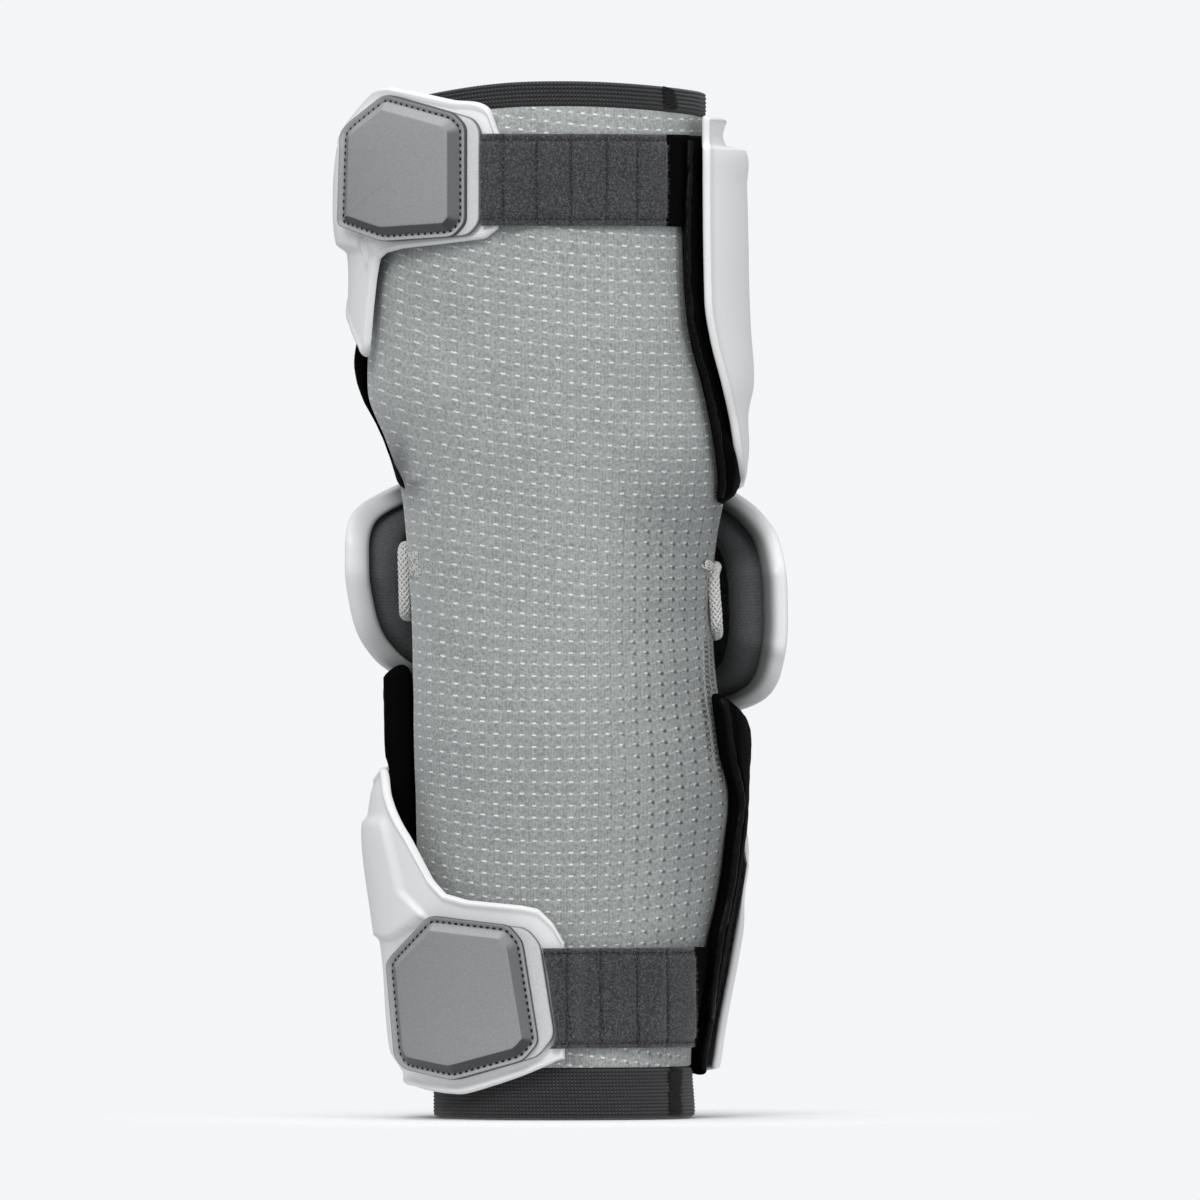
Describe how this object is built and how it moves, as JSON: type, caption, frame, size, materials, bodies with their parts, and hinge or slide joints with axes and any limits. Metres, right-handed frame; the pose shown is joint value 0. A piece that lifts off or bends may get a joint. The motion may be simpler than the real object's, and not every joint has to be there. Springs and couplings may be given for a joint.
{
  "type": "lacrosse arm pad",
  "caption": "Arm pad for lacrosse: knitted mesh sleeve, foam pads, white moulded shells, floating elbow cap, two padded straps with six-sided fastening tabs",
  "frame": {"origin": "on the arm's axis at the elbow, where the arm holds the pad", "axes": "+Z along the arm towards the shoulder, -Y the open front with the straps, +Y the hard outer side, +X the right of the front view"},
  "size_m": [0.1525, 0.1179, 0.344],
  "materials": {
    "knit_mesh": "fine mesh knit, matte",
    "ribbed_elastic": "ribbed elastic, matte",
    "black_foam": "foam under stretched black cloth with bound edges",
    "white_shell": "moulded, satin",
    "dark_liner": "padded brushed cloth",
    "fuzzy_strap": "brushed loop pile, heather",
    "black_webbing": "woven, matte",
    "tab_base": "moulded, satin",
    "tab_panel": "fine grain, matte",
    "white_cord": "braided"
  },
  "bodies": {
    "root": {"sleeve": "knit_mesh", "top_cuff": "ribbed_elastic", "bottom_cuff": "ribbed_elastic", "upper_arm_pad": "black_foam", "forearm_pad": "black_foam", "upper_arm_shell": "white_shell", "forearm_shell": "white_shell", "elbow_cap": "white_shell", "elbow_liner": "dark_liner", "upper_strap": "fuzzy_strap", "upper_strap_anchor": "black_webbing", "lower_strap": "fuzzy_strap", "lower_strap_anchor": "black_webbing", "upper_tab": "tab_base", "upper_tab_panel": "tab_panel", "lower_tab": "tab_base", "lower_tab_panel": "tab_panel", "left_lace": "white_cord", "right_lace": "white_cord"}
  },
  "joints": []
}
